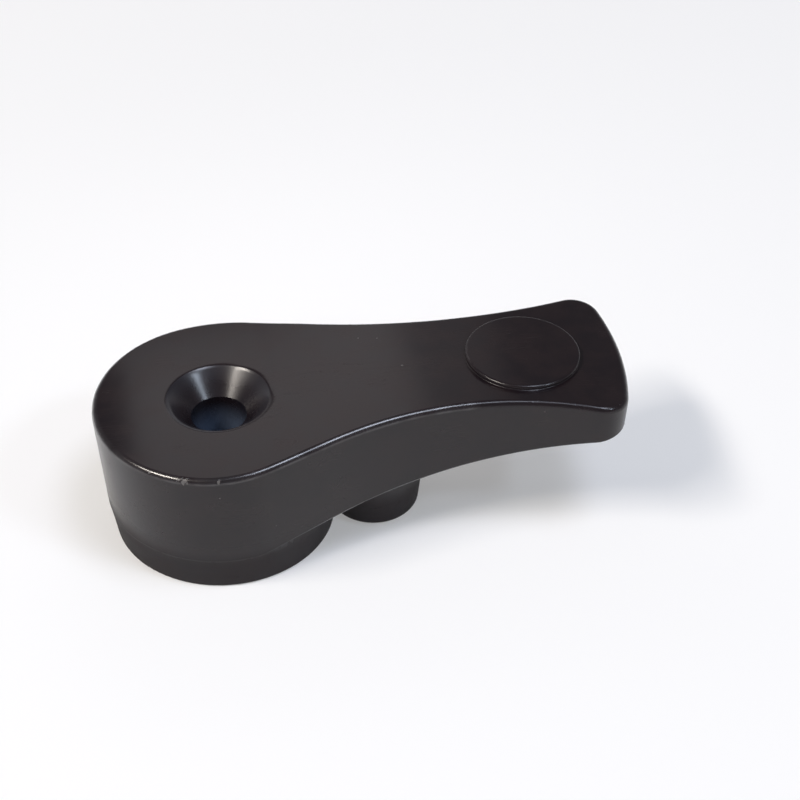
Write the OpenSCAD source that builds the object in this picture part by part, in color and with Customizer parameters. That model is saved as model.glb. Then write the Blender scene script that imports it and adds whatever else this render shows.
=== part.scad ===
// Counterweight clamp knob: a one-piece cast lever with a round hub, a waisted arm and a stop boss.
// Millimetres. The hub axis is Z, the foot of the hub stands on z = 0 and the arm points along +X.

/* [Hub] */
// Diameter of the hub at its top edge
hub_d = 24.6; // [22:0.5:28]
// Height of the hub's level top
hub_h = 14.8; // [13.6:0.2:17]
// Height of the steeper band round the foot of the hub
band_h = 3.7; // [2.6:0.1:4.4]
// Lean of that band, narrower downwards (degrees)
band_lean = 8; // [6:0.5:16]
// Step by which the band lies behind the wall above it
band_step = 0.05; // [0.04:0.01:0.3]
// Rounding of the foot's edge
foot_round = 0.3; // [0.2:0.1:0.9]

/* [Arm] */
// Distance from the hub axis to the tip
reach = 40.1; // [37:0.1:46]
// Length of the straight flank between the hub and the hollow side
neck_l = 6.9; // [3:0.1:9]
// Distance from the hub axis to the narrowest place of the arm
waist_x = 23.75; // [20:0.25:27]
// Width of the arm at its narrowest place
waist_w = 14.2; // [12:0.1:16.5]
// Radius of the bowed end, seen from above
end_r = 31; // [20:0.5:38]
// Rounding of the two tip corners, seen from above
corner_r = 2.7; // [1.4:0.1:3]
// Thickness of the arm at its tip
tip_t = 3.2; // [2.6:0.1:5]
// Height of the arm's underside where it leaves the hub
root_z = 6.1; // [5:0.1:7]

/* [Top] */
// Distance from the hub axis back to where the level top starts to rise
sweep_back = 3.2; // [0:0.1:5]
// Length of the hollow sweep from the hub up to the arm
sweep_l = 10; // [7:0.5:13]
// Radius of that sweep
sweep_r = 68; // [56:1:110]
// Radius of the arch along the arm
arch_r = 134; // [110:1:240]

/* [Walls and edges] */
// Lean of the cast walls, narrower downwards (degrees)
draft = 3.5; // [1:0.5:5]
// Rounding of the top edge
edge_round = 0.6; // [0.3:0.1:1.1]
// Rounding of the lower edge of the arm
under_round = 0.3; // [0.2:0.1:0.7]

/* [Screw hole] */
// Clearance hole for the countersunk screw
screw_d = 5.5; // [4.3:0.1:6.6]
// Diameter of the countersink at the height of the hub's level top
sink_d = 9.7; // [9:0.1:12]
// Included angle of the countersink (degrees)
sink_angle = 90; // [82:1:100]
// Rounding of the countersink's rim
rim_round = 1.3; // [0.4:0.1:1.6]

/* [Stop boss] */
// Distance from the hub's top edge to the middle of the boss
boss_out = 2.9; // [1.8:0.1:4]
// Diameter of the boss at its foot
boss_d = 9; // [7:0.1:10.6]
// Lean of the boss's wall (degrees)
boss_draft = 6.5; // [1:0.5:7]
// Rounding of the boss's foot
boss_round = 0.9; // [0.3:0.1:1.4]

/* [Thumb pad] */
// Distance from the tip to the middle of the round pad
pad_back = 10; // [8:0.1:12]
// Diameter of the pad
pad_d = 11.4; // [8:0.2:12]
// Height by which the pad stands above the arm
pad_h = 0.5; // [0.4:0.05:0.8]
// Rounding of the pad's edge
pad_round = 0.3; // [0.1:0.05:0.4]

/* [Hidden] */
$fn = 96;
// colour of the enamelled casting
black = [0.045, 0.042, 0.043];
// how far a cutting shape runs past the surface that it cuts
over = 2;

hub_r = hub_d / 2;
lean = tan(draft);
boss_x = hub_r + boss_out;
pad_x = reach - pad_back;

// plan outline: hub arc, straight neck, hollow side arc, tip corner and bowed end, each tangent to the next
side_r = (pow(waist_x, 2) + pow(waist_w / 2, 2) - pow(hub_r, 2) - pow(neck_l, 2)) / (hub_d - waist_w);
side_c = [waist_x, waist_w / 2 + side_r];
end_c = [reach - end_r, 0];
corner_c = circles_meet(end_c, end_r - corner_r, side_c, side_r + corner_r);

// directions of the tangent points, in degrees
hub_to = heading([0, 0], side_c) + atan2(neck_l, hub_r + side_r);
side_from = hub_to - 180;
side_to = heading(side_c, corner_c);
corner_to = heading(end_c, corner_c);

// angle at which the top leaves the sweep, and by which the countersink's rim turns down
sweep_turn = asin(sweep_l / sweep_r);
rim_turn = 90 - sink_angle / 2;
// angle by which the top falls towards the tip under the thumb pad
pad_tilt = asin((pad_x + sweep_back - sweep_l) / arch_r - sin(sweep_turn));

// number of steps on each stretch of the half outline
hub_steps = 28;
neck_steps = 5;
side_steps = 24;
corner_steps = 9;
end_steps = 8;
// number of steps on the edge roundings
edge_steps = 7;
under_steps = 4;
rim_steps = 3;
rim_count = 60;

function heading(from, to) = atan2(to[1] - from[1], to[0] - from[0]);

// upper meeting point of two circles
function circles_meet(a, ra, b, rb) =
    let (
        d = norm(b - a),
        along = (d * d + ra * ra - rb * rb) / (2 * d),
        aside = sqrt(ra * ra - along * along),
        u = (b - a) / d
    )
    a + along * u + aside * [u[1], -u[0]];

// points of an arc after its first, from one direction to another
function arc(c, r, from, to, steps) =
    [for (i = [1 : steps]) let (a = from + (to - from) * i / steps) c + r * [cos(a), sin(a)]];

// points of the straight neck after its first, on a hub of a radius
function neck(r) =
    [for (i = [1 : neck_steps])
        r * [cos(hub_to), sin(hub_to)] + neck_l * i / neck_steps * [sin(hub_to), -cos(hub_to)]];

// half of the outline from the back of the hub to the tip, moved inwards by an inset
function half_outline(inset) = concat(
    [[-(hub_r - inset), 0]],
    arc([0, 0], hub_r - inset, 180, hub_to, hub_steps),
    neck(hub_r - inset),
    arc(side_c, side_r + inset, side_from, side_to, side_steps),
    arc(corner_c, corner_r - inset, side_to + 180, corner_to, corner_steps),
    arc(end_c, end_r - inset, corner_to, 0, end_steps)
);

half_count = 1 + hub_steps + neck_steps + side_steps + corner_steps + end_steps;
ring_count = 2 * half_count - 2;

// height of the top along the lever: level on the hub, then a hollow sweep, then an arch
function top_z(x) =
    let (
        swept = min(max(0, x + sweep_back), sweep_l),
        arched = max(0, x + sweep_back - sweep_l),
        to_crest = arch_r * sin(sweep_turn) - arched,
        sweep_rise = sweep_r - sqrt(sweep_r * sweep_r - swept * swept),
        arch_rise = sqrt(arch_r * arch_r - to_crest * to_crest) - arch_r * cos(sweep_turn)
    )
    hub_h + sweep_rise + arch_rise;

// height of the underside along the lever, not below the band round the foot
tip_z = top_z(reach) - tip_t;
function under_z(x) = max(band_h, root_z + (tip_z - root_z) * (x - hub_r) / (reach - hub_r));

// inset and height of the wall's lower rounding (angles below -draft) and upper rounding (above)
function wall_point(i, angle, lower) =
    let (
        x0 = half_outline(0)[i][0],
        height = top_z(x0) - under_z(x0),
        r = lower ? under_round : edge_round,
        centre_depth = lower ? height - r : r,
        inset = r / cos(draft) + centre_depth * lean - r * cos(angle),
        p = half_outline(inset)[i],
        depth = centre_depth - r * sin(angle)
    )
    [p[0], p[1], lower ? under_z(p[0]) + height - depth : top_z(p[0]) - depth];

// one closed ring: the half outline and its mirror image
function ring(angle, lower) =
    let (half = [for (i = [0 : half_count - 1]) wall_point(i, angle, lower)])
    concat(half, [for (i = [half_count - 2 : -1 : 1]) [half[i][0], -half[i][1], half[i][2]]]);

// faces between rings of a number of points, each ring above the one before it
function walls(rings, count) = [
    for (k = [0 : rings - 2])
        for (i = [0 : count - 1])
            let (j = (i + 1) % count, low = k * count, high = low + count)
            [low + i, low + j, high + j, high + i]
];

// strips straight across a lever ring, between each point and its mirror image
function strips() = [
    for (i = [0 : half_count - 2])
        let (a = (ring_count - i) % ring_count, b = ring_count - i - 1)
        i == 0 ? [0, 1, b] : i == half_count - 2 ? [i, i + 1, a] : [i, i + 1, b, a]
];

function reverse(list) = [for (i = [len(list) - 1 : -1 : 0]) list[i]];

// radius of the hub's wall at a height
function wall_r(z) = hub_r - (hub_h - z) * lean;

// radius at which the countersink meets the curved top in a direction, found by closing in on it
function rim_r(direction, r = sink_d / 2, tries = 4) =
    tries == 0 ? r :
    rim_r(direction, sink_d / 2 + (top_z(r * cos(direction)) - hub_h) * tan(sink_angle / 2), tries - 1);

// point on the rim's rounding in a direction, where its surface has a tilt
function rim_point(direction, tilt) =
    let (
        sharp_r = rim_r(direction),
        start_r = sharp_r + rim_round * tan(rim_turn / 2),
        sharp_z = top_z(sharp_r * cos(direction)),
        start_z = top_z(start_r * cos(direction)),
        r = start_r - rim_round * sin(tilt),
        z = sharp_z + (start_z - sharp_z) * (1 - tilt / rim_turn) - rim_round * (1 - cos(tilt))
    )
    [r * cos(direction), r * sin(direction), z];

module clamp_lever() {
    color(black)
    difference() {
        union() {
            lever_body();
            hub_foot();
            stop_boss();
            thumb_pad();
        }
        screw_hole();
        rim_edge();
    }
}

// the drafted lever with its arched top and rounded edges, lofted from ring to ring
module lever_body() {
    lower_angles = [for (k = [0 : under_steps]) -90 + (90 - draft) * k / under_steps];
    upper_angles = [for (k = [0 : edge_steps]) -draft + (90 + draft) * k / edge_steps];
    rings = concat(
        [for (a = lower_angles) ring(a, true)],
        [for (a = upper_angles) ring(a, false)]
    );
    top = (len(rings) - 1) * ring_count;
    top_faces = [for (s = strips()) [for (v = s) top + v]];
    under_faces = [for (s = strips()) reverse(s)];
    polyhedron(
        points = [for (r = rings) each r],
        faces = concat(walls(len(rings), ring_count), top_faces, under_faces),
        convexity = 6
    );
}

// the band round the foot of the hub and the core that ties it into the body above
module hub_foot() {
    core_z = root_z + 2;
    band_r = wall_r(band_h) - band_step;
    foot_r = band_r - band_h * tan(band_lean);
    rotate_extrude()
        difference() {
            polygon([
                [0, 0],
                [foot_r, 0],
                [band_r, band_h],
                [wall_r(core_z) - band_step, core_z],
                [0, core_z]
            ]);
            foot_edge(foot_r, band_lean, foot_round);
        }
}

// the short stop cast under the arm, which stands as low as the hub's foot
module stop_boss() {
    foot_r = boss_d / 2;
    head_z = under_z(boss_x + foot_r + 1) + 0.5;
    translate([boss_x, 0])
        rotate_extrude()
            difference() {
                polygon([
                    [0, 0],
                    [foot_r, 0],
                    [foot_r + head_z * tan(boss_draft), head_z],
                    [0, head_z]
                ]);
                foot_edge(foot_r, boss_draft, boss_round);
            }
}

// plain round pad for the thumb, square to the arched top and rooted in it
module thumb_pad() {
    pad_r = pad_d / 2;
    root = pad_h + 0.5;
    translate([pad_x, 0, top_z(pad_x)])
        rotate([0, pad_tilt, 0])
            rotate_extrude() {
                translate([0, -root])
                    square([pad_r, root + pad_h - pad_round]);
                translate([0, -root])
                    square([pad_r - pad_round, root + pad_h]);
                translate([pad_r - pad_round, pad_h - pad_round])
                    circle(pad_round);
            }
}

// what a rounding takes off the foot of a leaning wall, in the half section of a revolved shape
module foot_edge(r, angle, round) {
    centre = [r - round / tan(45 + angle / 2), round];
    outward = [cos(angle), -sin(angle)];
    difference() {
        polygon([
            [centre[0], 0],
            [r + over, -over],
            centre + (round + over) * outward,
            centre + round * outward,
            centre
        ]);
        translate(centre)
            circle(round);
    }
}

// through hole and countersink on the hub axis
module screw_hole() {
    sink_depth = (sink_d - screw_d) / 2 / tan(sink_angle / 2);
    translate([0, 0, -over])
        cylinder(d = screw_d, h = hub_h + 2 * over);
    translate([0, 0, hub_h - sink_depth])
        cylinder(d1 = screw_d, d2 = sink_d + 2 * over * tan(sink_angle / 2), h = sink_depth + over);
}

// what the rounding takes off the countersink's rim, ring by ring, as the rim rises with the curved top
// the end rings lie further out along their facets, so that these cross the cone and the top
module rim_edge() {
    tilts = [for (k = [0 : rim_steps]) rim_turn * (1 - k / rim_steps)];
    arcs = [for (t = tilts) [for (i = [0 : rim_count - 1]) rim_point(-360 * i / rim_count, t)]];
    rings = concat(
        [2 * arcs[0] - arcs[1]],
        [for (k = [1 : rim_steps - 1]) arcs[k]],
        [2 * arcs[rim_steps] - arcs[rim_steps - 1]]
    );
    top = rim_steps * rim_count;
    floor_centre = top + rim_count;
    lid_centre = floor_centre + 1;
    next = [for (i = [0 : rim_count - 1]) (i + 1) % rim_count];
    floor_faces = [for (i = [0 : rim_count - 1]) [next[i], i, floor_centre]];
    lid_faces = [for (i = [0 : rim_count - 1]) [top + i, top + next[i], lid_centre]];
    polyhedron(
        points = concat([for (r = rings) each r], [[0, 0, hub_h - rim_round], [0, 0, hub_h + over]]),
        faces = concat(walls(len(rings), rim_count), floor_faces, lid_faces),
        convexity = 4
    );
}

clamp_lever();
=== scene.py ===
# %% Load the frame
import math

import bmesh
import bpy
import numpy
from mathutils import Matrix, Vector


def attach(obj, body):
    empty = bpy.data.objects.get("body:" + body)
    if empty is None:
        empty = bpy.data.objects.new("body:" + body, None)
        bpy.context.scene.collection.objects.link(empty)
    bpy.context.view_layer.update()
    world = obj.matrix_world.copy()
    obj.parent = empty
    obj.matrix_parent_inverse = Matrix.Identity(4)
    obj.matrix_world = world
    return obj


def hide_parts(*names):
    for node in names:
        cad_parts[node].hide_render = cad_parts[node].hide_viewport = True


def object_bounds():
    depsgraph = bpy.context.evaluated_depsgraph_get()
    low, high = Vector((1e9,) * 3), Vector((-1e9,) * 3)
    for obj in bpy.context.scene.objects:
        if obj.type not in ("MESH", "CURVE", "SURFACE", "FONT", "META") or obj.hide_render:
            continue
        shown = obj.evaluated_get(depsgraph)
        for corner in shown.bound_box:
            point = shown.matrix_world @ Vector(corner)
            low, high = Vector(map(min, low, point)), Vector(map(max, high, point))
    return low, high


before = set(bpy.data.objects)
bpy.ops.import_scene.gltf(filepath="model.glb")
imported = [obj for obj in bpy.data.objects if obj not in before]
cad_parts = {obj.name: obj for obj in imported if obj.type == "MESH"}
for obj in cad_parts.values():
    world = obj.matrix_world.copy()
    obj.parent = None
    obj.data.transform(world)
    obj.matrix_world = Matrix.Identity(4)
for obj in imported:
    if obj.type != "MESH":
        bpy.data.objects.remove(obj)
cad_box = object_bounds()
cad_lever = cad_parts["clamp_lever"]
MM = 0.001
print("CAD box in mm:", [[round(v / MM, 2) for v in corner] for corner in cad_box])

# %% [markdown]
# ## The view
# The knob lies on a white table and is seen from in front and above, with its hub on the left.
# A camera can be pushed about by hand until the picture looks right, or worked out from a point to look at,
# two angles and a distance. The second way is used here, because each number then has a meaning:
# turn is how far the camera stands to the left of straight in front, and drop is how steeply it looks down.

# %% Camera
VIEW_TURN = math.radians(7.91)
VIEW_DROP = math.radians(39.56)
VIEW_AWAY = 195.0 * MM
VIEW_AIM = Vector((17.59, -2.57, 14.65)) * MM
LENS = 90.0
SENSOR = 36.0
NEAREST_SEEN = 10 * MM

looking = Vector((
    math.sin(VIEW_TURN) * math.cos(VIEW_DROP),
    math.cos(VIEW_TURN) * math.cos(VIEW_DROP),
    -math.sin(VIEW_DROP),
))
bpy.ops.object.select_all(action="DESELECT")
bpy.ops.object.camera_add(location=VIEW_AIM - looking * VIEW_AWAY)
camera = bpy.context.object
camera.rotation_mode = "QUATERNION"
camera.rotation_quaternion = looking.to_track_quat("-Z", "Y")
camera.data.lens = LENS
camera.data.sensor_width = SENSOR
camera.data.clip_start = NEAREST_SEEN
bpy.context.scene.camera = camera
print("camera stands", round(VIEW_AWAY / MM), "mm from", [round(v / MM, 1) for v in VIEW_AIM])

# %% [markdown]
# ## The casting
# The real knob is one casting: hub, arm, thumb pad and stop boss under one black coat, with no seam anywhere.
# It could be modelled a second time here, but the solid already has the right form to a hundredth of a millimetre,
# so its mesh is copied. That mesh is made of loose triangles, which shade badly. They are merged at their corners,
# and triangles that lie in one plane are dissolved into one face, as a modeller would clean up any imported solid.

# %% Copy the solid and clean up its faces
MERGE = 0.002 * MM
ONE_PLANE = math.radians(0.1)

bpy.ops.object.select_all(action="DESELECT")
casting = cad_lever.copy()
casting.data = cad_lever.data.copy()
casting.name = "lever_casting"
casting.parent = None
for key in list(casting.keys()):
    del casting[key]
bpy.context.scene.collection.objects.link(casting)
casting.select_set(True)
bpy.context.view_layer.objects.active = casting
loose_triangles = len(casting.data.polygons)

bpy.ops.object.mode_set(mode="EDIT")
bpy.ops.mesh.select_all(action="SELECT")
bpy.ops.mesh.remove_doubles(threshold=MERGE)
bpy.ops.mesh.select_all(action="SELECT")
bpy.ops.mesh.dissolve_limited(angle_limit=ONE_PLANE, use_dissolve_boundaries=False)
bpy.ops.object.mode_set(mode="OBJECT")
print(loose_triangles, "loose triangles became", len(casting.data.polygons), "faces")

# %% [markdown]
# ## Where the edges are
# A coat of paint rubs thin along its edges first, so the finish has to know where they are.
# Sharp edges would be easy to find, but a casting has none: each edge is a narrow rounding made of thin strips.
# What marks a rounding is how fast the surface turns, so each mesh edge is asked for the angle between its two faces,
# divided by how far apart their middles lie. The flat faces and the round hub turn slowly, the roundings fast.
# The answer is kept on the points of the mesh as an attribute, which a material can read like a painted mask.
# The thumb pad, the countersink and the foot are left out: fingers slide over the pad's low edge and don't reach
# the other two.

# %% Mark the roundings
TURN_PER_MM = 0.8
PAD_X = 30.1 * MM
PAD_CLEAR = 6.2 * MM
PAD_ABOVE = 13.0 * MM
RIM_CLEAR = 6.5 * MM
RUB_ABOVE = 5.0 * MM


def reach_from(face, edge):
    """How far the middle of a face lies from one of its edges."""
    start = edge.verts[0].co
    along = (edge.verts[1].co - start).normalized()
    offset = face.calc_center_median() - start
    return (offset - offset.dot(along) * along).length


clean_mesh = bmesh.new()
clean_mesh.from_mesh(casting.data)
on_rounding = [0.0] * len(clean_mesh.verts)
for edge in clean_mesh.edges:
    if len(edge.link_faces) != 2:
        continue
    middle = (edge.verts[0].co + edge.verts[1].co) / 2
    on_pad = math.hypot(middle.x - PAD_X, middle.y) < PAD_CLEAR and middle.z > PAD_ABOVE
    on_rim = math.hypot(middle.x, middle.y) < RIM_CLEAR
    if on_pad or on_rim or middle.z < RUB_ABOVE:
        continue
    across = sum(reach_from(face, edge) for face in edge.link_faces)
    if edge.calc_face_angle_signed(0.0) >= TURN_PER_MM * across / MM:
        for vert in edge.verts:
            on_rounding[vert.index] = 1.0
clean_mesh.free()
rounding = casting.data.attributes.new("rounding", "FLOAT", "POINT")
rounding.data.foreach_set("value", on_rounding)
print(int(sum(on_rounding)), "of", len(on_rounding), "points lie on roundings")

# %% [markdown]
# ## Soft shading
# The roundings should look round and the flats flat. Smooth shading alone lets the light roll over from the roundings
# onto the flats. Weighting each point's normal by the size of the faces round it keeps the flats even.

# %% Weighted normals
SMOOTH_DEGREES = 32
FLATS_WEIGH = 60
bpy.ops.object.shade_smooth_by_angle(angle=math.radians(SMOOTH_DEGREES))
even = casting.modifiers.new("even_normals", "WEIGHTED_NORMAL")
even.mode = "FACE_AREA"
even.weight = FLATS_WEIGH
even.keep_sharp = True
bpy.ops.object.modifier_apply(modifier=even.name)
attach(casting, "root")
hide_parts("clamp_lever")
print("the casting has", len(casting.data.polygons), "faces, shaded smooth up to", SMOOTH_DEGREES, "degrees")

# %% [markdown]
# ## The true direction of the top
# The top is level on the hub, sweeps up along the arm and arches over the tip, but across the lever it is straight.
# Its strips end in many small corners at the pad and the roundings, and averaged normals lean over there.
# More faces would help a little. It is simpler to tell Blender the true direction of the surface at each corner:
# on the top it depends only on how far along the lever the corner lies, so it is read between the strips' middles.

# %% Read the top's slope along the lever
LEVEL = 0.98
STRAIGHT = 0.004
TOP_ABOVE = 13.0 * MM
STRIP_AREA = (0.25 * MM) ** 2

mesh = casting.data
on_top = set()
strips = []
for face in mesh.polygons:
    if face.normal.z > LEVEL and abs(face.normal.y) < STRAIGHT and face.center.z > TOP_ABOVE:
        on_top.update(face.vertices)
        along_x = [mesh.vertices[index].co.x for index in face.vertices]
        if face.area > STRIP_AREA:
            strips.append(((min(along_x) + max(along_x)) / 2, face.normal.x / face.normal.z))
strips.sort()
strip_places, strip_slopes = zip(*strips)
print(len(strips), "strips, sloping by", round(min(strip_slopes), 3), "to", round(max(strip_slopes), 3))

# %% [markdown]
# ## The countersink
# The screw hole and its countersink were turned or moulded truly round, and their bright streaks show every flat.
# On a cone or a round hole the surface always faces the axis, so here too the true direction can be written down.
# The rim is crisper on its far side than on the near one. The shape could be changed there, but the difference is a
# few tenths of a millimetre and only the light shows it. So the normals on the far side turn from the cone to the
# top within a narrower ring than the rounding itself, and on the near side they stay as they are.

# %% Set the true normals
HOLE_R = 2.75 * MM
SINK_FOOT = 12.7 * MM
ON_SURFACE = 0.02 * MM
UPRIGHT = 0.2
NEARLY_LEVEL = 0.78
RIM_RING = (4.3 * MM, 5.6 * MM)
RIM_TURNS = (4.95 * MM, 5.3 * MM)
FAR_SIDE = (-0.3, 0.1)
UP = Vector((0, 0, 1))

corner_normals = [corner.vector.copy() for corner in mesh.corner_normals]
set_right = 0
for face in mesh.polygons:
    faces_up = face.normal.z > UPRIGHT
    for corner in face.loop_indices:
        index = mesh.loops[corner].vertex_index
        point = mesh.vertices[index].co
        off_axis = math.hypot(point.x, point.y)
        past_hole = off_axis - HOLE_R
        above_foot = point.z - SINK_FOOT
        inward = Vector((-point.x, -point.y, 0)).normalized()
        cone_normal = inward + UP
        top_normal = UP + Vector((numpy.interp(point.x, strip_places, strip_slopes), 0, 0))

        in_hole = abs(face.normal.z) < UPRIGHT and abs(past_hole) < ON_SURFACE
        on_cone = faces_up and abs(past_hole - above_foot) < ON_SURFACE and above_foot > -ON_SURFACE
        on_rim = faces_up and RIM_RING[0] < off_axis < RIM_RING[1] and above_foot > 0
        true_normal = None
        if in_hole:
            true_normal = inward
        elif on_cone:
            true_normal = cone_normal.normalized()
        elif face.normal.z > NEARLY_LEVEL and index in on_top:
            true_normal = top_normal.normalized()
        if on_rim:
            crisp = cone_normal.lerp(top_normal, numpy.interp(off_axis, RIM_TURNS, (0, 1))).normalized()
            crispness = numpy.interp(point.y / off_axis, FAR_SIDE, (0, 1))
            true_normal = (true_normal or corner_normals[corner]).lerp(crisp, crispness)
        if true_normal:
            corner_normals[corner] = true_normal.normalized()
            set_right += 1
mesh.normals_split_custom_set(corner_normals)
print(set_right, "corners on the top and in the screw hole set right")

# %% [markdown]
# ## The finish, one effect at a time
# The coat is a satin black enamel with a warm cast, a little uneven, rubbed shiny along the edges and chipped in a
# few places. One tangle of nodes could do all that, but nobody could change it later. Each effect is a node group
# of its own instead, with named inputs and outputs, and the material only mixes what the groups put out.
# All groups work in millimetres, so a number in a texture's scale is a count of bumps per millimetre.

# %% Helpers for nodes
def feed(tree, source, socket):
    """Link an output to an input socket, or set the socket to a plain value."""
    if isinstance(source, bpy.types.NodeSocket):
        tree.links.new(source, socket)
    else:
        socket.default_value = source


def add_node(tree, kind, sockets=None, **fields):
    """Add a shader node, set its fields, and feed its input sockets."""
    node = tree.nodes.new("ShaderNode" + kind)
    for name, value in fields.items():
        setattr(node, name, value)
    for name, source in (sockets or {}).items():
        feed(tree, source, node.inputs[name])
    return node


def new_group(name, inputs, outputs):
    """Start a node group and return it with its input and output nodes."""
    group = bpy.data.node_groups.new(name, "ShaderNodeTree")
    for label, kind in inputs:
        group.interface.new_socket(label, in_out="INPUT", socket_type="NodeSocket" + kind)
    for label, kind in outputs:
        group.interface.new_socket(label, in_out="OUTPUT", socket_type="NodeSocket" + kind)
    return group, group.nodes.new("NodeGroupInput"), group.nodes.new("NodeGroupOutput")


def calculate(tree, operation, first, second=0.0):
    """A math node on two values, and its result."""
    return add_node(tree, "Math", {0: first, 1: second}, operation=operation).outputs[0]


def ramp(tree, value, low, high, start=0.0, end=1.0):
    """A soft step that goes from start to end while the value goes from low to high."""
    return add_node(
        tree, "MapRange",
        {"Value": value, "From Min": low, "From Max": high, "To Min": start, "To Max": end},
        interpolation_type="SMOOTHSTEP",
    ).outputs["Result"]


def noise(tree, place, scale, detail=2.0, roughness=0.5):
    """Cloudy noise between 0 and 1."""
    return add_node(
        tree, "TexNoise",
        {"Vector": place, "Scale": scale, "Detail": detail, "Roughness": roughness},
    ).outputs["Fac"]


# %% [markdown]
# ### Grain of the coat
# Enamel sprayed on a casting is never quite even: broad patches differ a little in gloss, and close up it has
# the fine ripple that painters call orange peel. Two noises give both, a broad one for the patches
# and a fine one for the ripple.

# %% Coat grain
coat_grain, grain_in, grain_out = new_group(
    "coat_grain", [("Place", "Vector")], [("Patches", "Float"), ("Ripple", "Float")],
)
patches = noise(coat_grain, grain_in.outputs["Place"], scale=0.32, detail=4.0, roughness=0.62)
ripple = noise(coat_grain, grain_in.outputs["Place"], scale=2.4)
feed(coat_grain, ramp(coat_grain, patches, low=0.3, high=0.7), grain_out.inputs["Patches"])
feed(coat_grain, ripple, grain_out.inputs["Ripple"])
print("made", coat_grain.name)

# %% [markdown]
# ### Rubbed edges
# Fingers polish the coat where it turns over an edge, and knocks leave small dents there.
# Painting this by hand would have to be done again after each change of the shape. The mask on the roundings is
# already there, so a noise only has to break it up: in long stretches for the rub, in short ones for the dents.

# %% Edge rub
edge_rub, rub_in, rub_out = new_group(
    "edge_rub", [("Place", "Vector"), ("Edge", "Float")], [("Rub", "Float"), ("Dents", "Float")],
)
broad = noise(edge_rub, rub_in.outputs["Place"], scale=0.45, detail=3.0)
fine = noise(edge_rub, rub_in.outputs["Place"], scale=1.6)
stretches = ramp(edge_rub, broad, low=0.36, high=0.58, start=0.45)
knocks = ramp(edge_rub, fine, low=0.62, high=0.74)
feed(edge_rub, calculate(edge_rub, "MULTIPLY", rub_in.outputs["Edge"], stretches), rub_out.inputs["Rub"])
feed(edge_rub, calculate(edge_rub, "MULTIPLY", rub_in.outputs["Edge"], knocks), rub_out.inputs["Dents"])
print("made", edge_rub.name)

# %% [markdown]
# ### Chips
# In a few places the coat has come off down to the grey metal. Noise would scatter chips anywhere,
# but these sit where the knob was knocked, so each one is a spot with a place and a size:
# the distance from the spot, made uneven by a little noise so that the outline is ragged.

# %% Paint chip
paint_chip, chip_in, chip_out = new_group(
    "paint_chip", [("Place", "Vector"), ("Spot", "Vector"), ("Size", "Float")], [("Bare", "Float")],
)
away = add_node(
    paint_chip, "VectorMath", {0: chip_in.outputs["Place"], 1: chip_in.outputs["Spot"]}, operation="DISTANCE",
).outputs["Value"]
uneven = noise(paint_chip, chip_in.outputs["Place"], scale=3.2, detail=3.0)
ragged = ramp(paint_chip, uneven, low=0.25, high=0.75, start=0.45, end=1.55)
share = calculate(paint_chip, "DIVIDE", away, chip_in.outputs["Size"])
share = calculate(paint_chip, "MULTIPLY", share, ragged)
feed(paint_chip, ramp(paint_chip, share, low=0.62, high=0.42), chip_out.inputs["Bare"])
print("made", paint_chip.name)

# %% [markdown]
# ### Dust
# Sparse pale grains lie on the coat. A Voronoi texture divides space into cells with one point in each.
# Each cell also has a colour of its own, and its red part is used here as the chance that the cell holds a grain.

# %% Dust grains
dust_grains, dust_in, dust_out = new_group(
    "dust_grains", [("Place", "Vector"), ("Up", "Float")], [("Dust", "Float")],
)
cells = add_node(dust_grains, "TexVoronoi", {"Vector": dust_in.outputs["Place"], "Scale": 0.55})
chance = add_node(dust_grains, "SeparateColor", {"Color": cells.outputs["Color"]}).outputs["Red"]
grain_size = ramp(dust_grains, chance, low=0.86, high=1.0, end=0.06)
inside = calculate(dust_grains, "SUBTRACT", grain_size, cells.outputs["Distance"])
grains = ramp(dust_grains, inside, low=0.0, high=0.02)
feed(dust_grains, calculate(dust_grains, "MULTIPLY", grains, dust_in.outputs["Up"]), dust_out.inputs["Dust"])
print("made", dust_grains.name)

# %% [markdown]
# ### Hairlines
# Handling leaves hair-thin scratches that only show as a change of gloss. A noise stretched along one direction has
# long level lines, and keeping only the values close to one level leaves thin lines. A second noise lets them
# come and go.

# %% Hairlines
LINE_LEVEL = 0.52
LINE_WIDTH = 0.006
hairlines, hair_in, hair_out = new_group(
    "hairlines", [("Place", "Vector"), ("Turn", "Vector")], [("Scratch", "Float")],
)
stretched = add_node(
    hairlines, "Mapping",
    {"Vector": hair_in.outputs["Place"], "Rotation": hair_in.outputs["Turn"], "Scale": (0.05, 1.1, 0.5)},
).outputs["Vector"]
from_level = calculate(hairlines, "SUBTRACT", noise(hairlines, stretched, scale=1.0, detail=1.0), LINE_LEVEL)
thin = ramp(hairlines, calculate(hairlines, "ABSOLUTE", from_level), low=LINE_WIDTH, high=0.0)
come_and_go = ramp(hairlines, noise(hairlines, hair_in.outputs["Place"], scale=0.16), low=0.5, high=0.64)
feed(hairlines, calculate(hairlines, "MULTIPLY", thin, come_and_go), hair_out.inputs["Scratch"])
print("made", hairlines.name)

# %% [markdown]
# ## The material
# The groups come together here. Object coordinates are used, because they stay with the piece wherever it is turned,
# and they are multiplied so that one unit is a millimetre.

# %% Where the effects are
PER_METRE = 1 / MM
enamel = bpy.data.materials.new("black_enamel")
enamel.use_nodes = True
coat = enamel.node_tree
shader = coat.nodes["Principled BSDF"]
in_metres = add_node(coat, "TexCoord").outputs["Object"]
place = add_node(coat, "VectorMath", {0: in_metres, 1: (PER_METRE,) * 3}, operation="MULTIPLY").outputs[0]
edge_mask = add_node(coat, "Attribute", attribute_name="rounding").outputs["Fac"]
facing = add_node(coat, "SeparateXYZ", {0: add_node(coat, "NewGeometry").outputs["Normal"]}).outputs["Z"]


def use_group(group, **sockets):
    """Place a node group in the enamel with its own values."""
    return add_node(coat, "Group", sockets, node_tree=group).outputs


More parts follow.
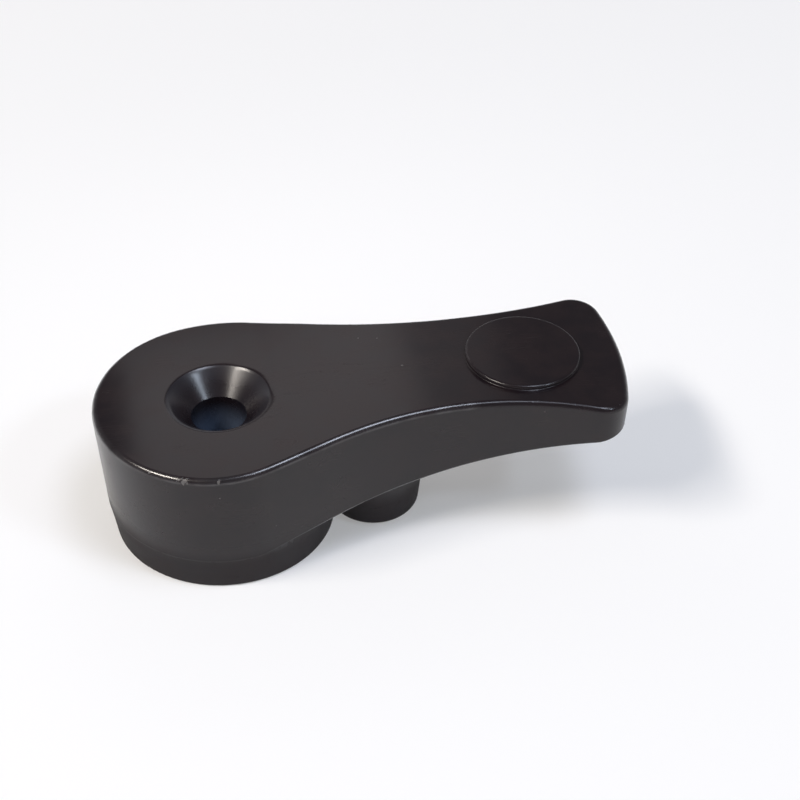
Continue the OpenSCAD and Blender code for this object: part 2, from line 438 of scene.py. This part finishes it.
grain = use_group(coat_grain, Place=place)
worn = use_group(edge_rub, Place=place, Edge=edge_mask)
dusty = use_group(dust_grains, Place=place, Up=ramp(coat, facing, low=-0.2, high=0.9, start=0.35))["Dust"]
lines_along = use_group(hairlines, Place=place, Turn=(0.0, 0.0, 0.35))["Scratch"]
lines_across = use_group(hairlines, Place=place, Turn=(0.0, 0.2, 1.9))["Scratch"]
scratched = calculate(coat, "MAXIMUM", lines_along, lines_across)
print("five effects placed, the hairlines in two directions")

# %% [markdown]
# ### Places with a wear or a painted reflection of their own
# The screw's head has burnished the countersink, the hole gets a painted bluish reflection of cool light, and the
# foot, which no hand reaches, has stayed dull. The long shine on the arm's edge ends before the thumb pad.
# Painted masks could hold all that, but each of these places follows from a distance from the hub's axis, a height,
# or the way along the lever, so a soft step on that number is enough. Each pair of numbers is where a mask starts
# and where it is full, in millimetres.

# %% Masks by place
SINK_OUT = (5.2, 5.0)
SINK_UP = (13.4, 14.8)
SINK_LEAST = 0.3
HOLE_OUT = (2.95, 2.8)
HOLE_DOWN = (12.4, 8.8)
FOOT_DOWN = (6.4, 2.8)
SHINE_ALONG = (25.0, 23.5)

along, aside, above = add_node(coat, "SeparateXYZ", {0: place}).outputs
flat_place = add_node(coat, "CombineXYZ", {0: along, 1: aside}).outputs[0]
from_axis = add_node(coat, "VectorMath", {0: flat_place}, operation="LENGTH").outputs["Value"]
sink_share = ramp(coat, above, *SINK_UP, start=SINK_LEAST)
in_sink = calculate(coat, "MULTIPLY", ramp(coat, from_axis, *SINK_OUT), sink_share)
down_hole = calculate(coat, "MULTIPLY", ramp(coat, from_axis, *HOLE_OUT), ramp(coat, above, *HOLE_DOWN))
near_foot = ramp(coat, above, *FOOT_DOWN)
before_pad = ramp(coat, along, *SHINE_ALONG)
print("masks for the countersink, the hole, the foot and the arm's edge")

# %% [markdown]
# ### Where it was knocked
# Each chip is one use of the chip group, with the place and the size of its spot in millimetres. Most sit on the
# hub's near edge, which meets other things first. Where chips overlap, the barer one counts.

# %% Chips where the knob was knocked
CHIPS = [
    ((-3.95, -11.50, 14.60), 0.52),
    ((-4.50, -11.30, 14.68), 0.34),
    ((-0.75, -12.05, 14.58), 0.28),
    ((-7.05, -9.85, 14.62), 0.22),
    ((-0.72, -12.12, 12.60), 0.11),
    ((4.45, -11.00, 7.35), 0.13),
    ((-7.50, -9.00, 3.70), 0.24),
]
bare = 0.0
for spot, size in CHIPS:
    bare = calculate(coat, "MAXIMUM", use_group(paint_chip, Place=place, Spot=spot, Size=size)["Bare"], bare)
print(len(CHIPS), "chips")

# %% [markdown]
# ### Colour
# The enamel is almost black, with brownish patches. Over it lie, in this order, a painted bluish reflection in the
# hole with a trace of it in the countersink, then the rub of hands, dust, and the bare metal of the chips.
# One colour per mask keeps each of them easy to change.

# %% Colour
BLACK = (0.0088, 0.0060, 0.0078, 1)
BROWN_BLACK = (0.0130, 0.0080, 0.0092, 1)
# painted reflection: this bluish colour stands in for cool light mirrored in the hole, it is not a coat
HOLE_PAINTED_REFLECTION = (0.085, 0.112, 0.168, 1)
RUBBED = (0.018, 0.015, 0.017, 1)
PALE_DUST = (0.20, 0.19, 0.18, 1)
BARE_METAL = (0.115, 0.108, 0.107, 1)
SINK_PAINTED_REFLECTION = 0.05
RUB_SHOWS = 0.25
DUST_SHOWS = 0.5


def mix_colour(amount, under, over):
    """Lay one colour over another by a mask."""
    return add_node(coat, "Mix", {0: amount, 6: under, 7: over}, data_type="RGBA").outputs[2]


# The bluish colour in the hole, and a trace of it in the countersink, is a painted reflection of cool light.
painted_reflection = calculate(coat, "MAXIMUM", down_hole, calculate(coat, "MULTIPLY", in_sink, SINK_PAINTED_REFLECTION))
colour = mix_colour(grain["Patches"], BLACK, BROWN_BLACK)
colour = mix_colour(painted_reflection, colour, HOLE_PAINTED_REFLECTION)
colour = mix_colour(calculate(coat, "MULTIPLY", worn["Rub"], RUB_SHOWS), colour, RUBBED)
colour = mix_colour(calculate(coat, "MULTIPLY", dusty, DUST_SHOWS), colour, PALE_DUST)
colour = mix_colour(bare, colour, BARE_METAL)
feed(coat, colour, shader.inputs["Base Color"])
print("six colours mixed")

# %% [markdown]
# ### Gloss
# Roughness starts from the satin of the coat, and each mask makes it rougher or, where the edges are rubbed, smoother.
# Lower roughness alone can't make a rubbed edge as bright as it is: a narrow rounding sends back little light.
# So the rubbed edges and the countersink also get a share of a second, clear layer, which mirrors more.

# %% Gloss
SATIN = (0.215, 0.255)
ROUGHER = [(worn["Rub"], -0.04), (near_foot, 0.46), (in_sink, 0.08), (scratched, 0.12), (bare, 0.25), (dusty, 0.4)]
BARE_IS_METAL = 0.3
BURNISHED = 0.45
ENAMEL_IOR = 1.43
CLEAR_IOR = 1.55
CLEAR_ROUGH = 0.22

gloss = ramp(coat, grain["Patches"], 0.0, 1.0, *SATIN)
for mask, change in ROUGHER:
    gloss = calculate(coat, "ADD", gloss, calculate(coat, "MULTIPLY", mask, change))
feed(coat, gloss, shader.inputs["Roughness"])
feed(coat, calculate(coat, "MULTIPLY", bare, BARE_IS_METAL), shader.inputs["Metallic"])
feed(coat, ENAMEL_IOR, shader.inputs["IOR"])
polish = calculate(coat, "MULTIPLY", worn["Rub"], before_pad)
polish = calculate(coat, "MAXIMUM", polish, calculate(coat, "MULTIPLY", in_sink, BURNISHED))
feed(coat, polish, shader.inputs["Coat Weight"])
feed(coat, CLEAR_ROUGH, shader.inputs["Coat Roughness"])
feed(coat, CLEAR_IOR, shader.inputs["Coat IOR"])
print("roughness from", len(ROUGHER), "masks, clear layer on the edges and in the countersink")

# %% [markdown]
# ### Relief
# Ripple, dents and chips are far too shallow to be worth faces of their own, the deepest being a twentieth of a
# millimetre. A bump node tilts the normals as if they were there.

# %% Relief
RAISED_MM = [(grain["Ripple"], 0.0005), (worn["Dents"], -0.012), (bare, -0.05)]
relief = 0.0
for mask, height in RAISED_MM:
    relief = calculate(coat, "ADD", relief, calculate(coat, "MULTIPLY", mask, height))
bump = add_node(coat, "Bump", {"Height": relief, "Strength": 1.0, "Distance": MM})
feed(coat, bump.outputs["Normal"], shader.inputs["Normal"])
casting.data.materials.clear()
casting.data.materials.append(enamel)
print("black enamel has", len(coat.nodes), "nodes")

# %% [markdown]
# ## The table
# The knob was photographed on white paper, so bright that its grain can't be seen. More light would make the floor
# white too, but it would wash out the knob. So a share of the floor's colour is plain white for the camera and for
# reflections, and the rest is ordinary lit paper, which keeps the shadow.

# %% Floor
FLOOR_SIZE = 6.0
FLOOR_Z = cad_box[0].z - 0.02 * MM
PAPER = (0.93, 0.93, 0.93, 1)
PAPER_ROUGH = 0.9
PLAIN_WHITE_SHARE = 0.27

bpy.ops.object.select_all(action="DESELECT")
bpy.ops.mesh.primitive_plane_add(size=FLOOR_SIZE, location=(0, 0, FLOOR_Z))
floor = bpy.context.object
floor.name = "floor"
paper = bpy.data.materials.new("white_paper")
paper.use_nodes = True
sheet = paper.node_tree
lit = sheet.nodes["Principled BSDF"]
feed(sheet, PAPER, lit.inputs["Base Color"])
feed(sheet, PAPER_ROUGH, lit.inputs["Roughness"])
feed(sheet, 0.0, lit.inputs["Specular IOR Level"])
plain_white = add_node(sheet, "Emission")
ray = add_node(sheet, "LightPath")
seen = calculate(sheet, "MAXIMUM", ray.outputs["Is Camera Ray"], ray.outputs["Is Glossy Ray"])
seen = calculate(sheet, "MAXIMUM", seen, ray.outputs["Is Transmission Ray"])
white_share = calculate(sheet, "MULTIPLY", seen, PLAIN_WHITE_SHARE)
both = add_node(sheet, "MixShader", {0: white_share, 1: lit.outputs[0], 2: plain_white.outputs[0]})
feed(sheet, both.outputs[0], sheet.nodes["Material Output"].inputs["Surface"])
floor.data.materials.append(paper)
print("floor at", round(FLOOR_Z / MM, 2), "mm, a hair below the foot so that the two planes don't coincide")

# %% [markdown]
# ## The light
# Black paint shows hardly anything of itself, only what it mirrors, so the lamps are placed by what the knob mirrors.
# A broad warm lamp on the left and a small cool one on the right draw the two bright streaks in the countersink.
# The warm one also draws the bright dashes on the hub's near edge. The long bluish line on the arm's near edge needs
# a light almost overhead: halfway between lamp and eye is the way a surface has to face to shine, and only a lamp
# there meets the rounding all along the arm. It is blocked under the arm, which makes the shadow there darker.
# Two dim cards close behind put the soft sheen on the top, which fades towards the tip because the wider card
# reaches further than the other.

# %% Lamps
WARM = (1.0, 0.93, 0.85)
COOL = (0.74, 0.85, 1.0)
SKY = (0.79, 0.85, 1.0)
ROSY = (1.0, 0.95, 0.95)


def soft_lamp(name, toward, away, size, power, colour):
    """Aim a rectangular lamp at the knob from a direction and a distance."""
    bpy.ops.object.select_all(action="DESELECT")
    spot = VIEW_AIM + Vector(toward).normalized() * away
    bpy.ops.object.light_add(type="AREA", location=spot)
    lamp = bpy.context.object
    lamp.name = name
    lamp.data.shape = "RECTANGLE"
    lamp.data.size, lamp.data.size_y = size
    lamp.data.energy = power
    lamp.data.color = colour
    lamp.rotation_mode = "QUATERNION"
    lamp.rotation_quaternion = (VIEW_AIM - spot).to_track_quat("-Z", "Y")
    lamp.visible_camera = False
    print(name, "gives", power, "W")


soft_lamp("left_lamp", (-0.605, -0.22, 0.765), away=0.8, size=(0.34, 0.10), power=4.4, colour=WARM)
soft_lamp("right_lamp", (0.55, -0.44, 0.71), away=0.8, size=(0.13, 0.09), power=1.0, colour=COOL)
soft_lamp("roof_lamp", (0.25, -0.22, 0.94), away=0.8, size=(0.27, 0.26), power=2.3, colour=SKY)
soft_lamp("sheen_card", (-0.221, 0.741, 0.634), away=0.0615, size=(0.036, 0.027), power=0.0019, colour=ROSY)
soft_lamp("wide_card", (-0.100, 0.755, 0.648), away=0.0602, size=(0.052, 0.027), power=0.0014, colour=ROSY)

# %% [markdown]
# ## The room
# What isn't lamp or table is the room, and black paint mirrors that too. An even grey would do for the light, but
# the countersink's near rim is lit from low down, so the room is brighter near the horizon than overhead.
# The camera itself sees plain white there, so that the table has no visible end.

# %% Room
HORIZON = 0.45
OVERHEAD = 0.16
FADES = (0.1, 0.5)
ROOM_COLOUR = (0.97, 0.96, 1.0, 1)

room = bpy.data.worlds.new("pale_room")
room.use_nodes = True
air = room.node_tree
skyward = add_node(air, "SeparateXYZ", {0: add_node(air, "TexCoord").outputs["Generated"]}).outputs["Z"]
glow = ramp(air, skyward, *FADES, HORIZON, OVERHEAD)
backdrop = calculate(air, "MAXIMUM", glow, add_node(air, "LightPath").outputs["Is Camera Ray"])
feed(air, backdrop, air.nodes["Background"].inputs["Strength"])
feed(air, ROOM_COLOUR, air.nodes["Background"].inputs["Color"])
bpy.context.scene.world = room
bpy.context.scene.view_settings.view_transform = "Standard"
print("room:", HORIZON, "at the horizon,", OVERHEAD, "overhead")
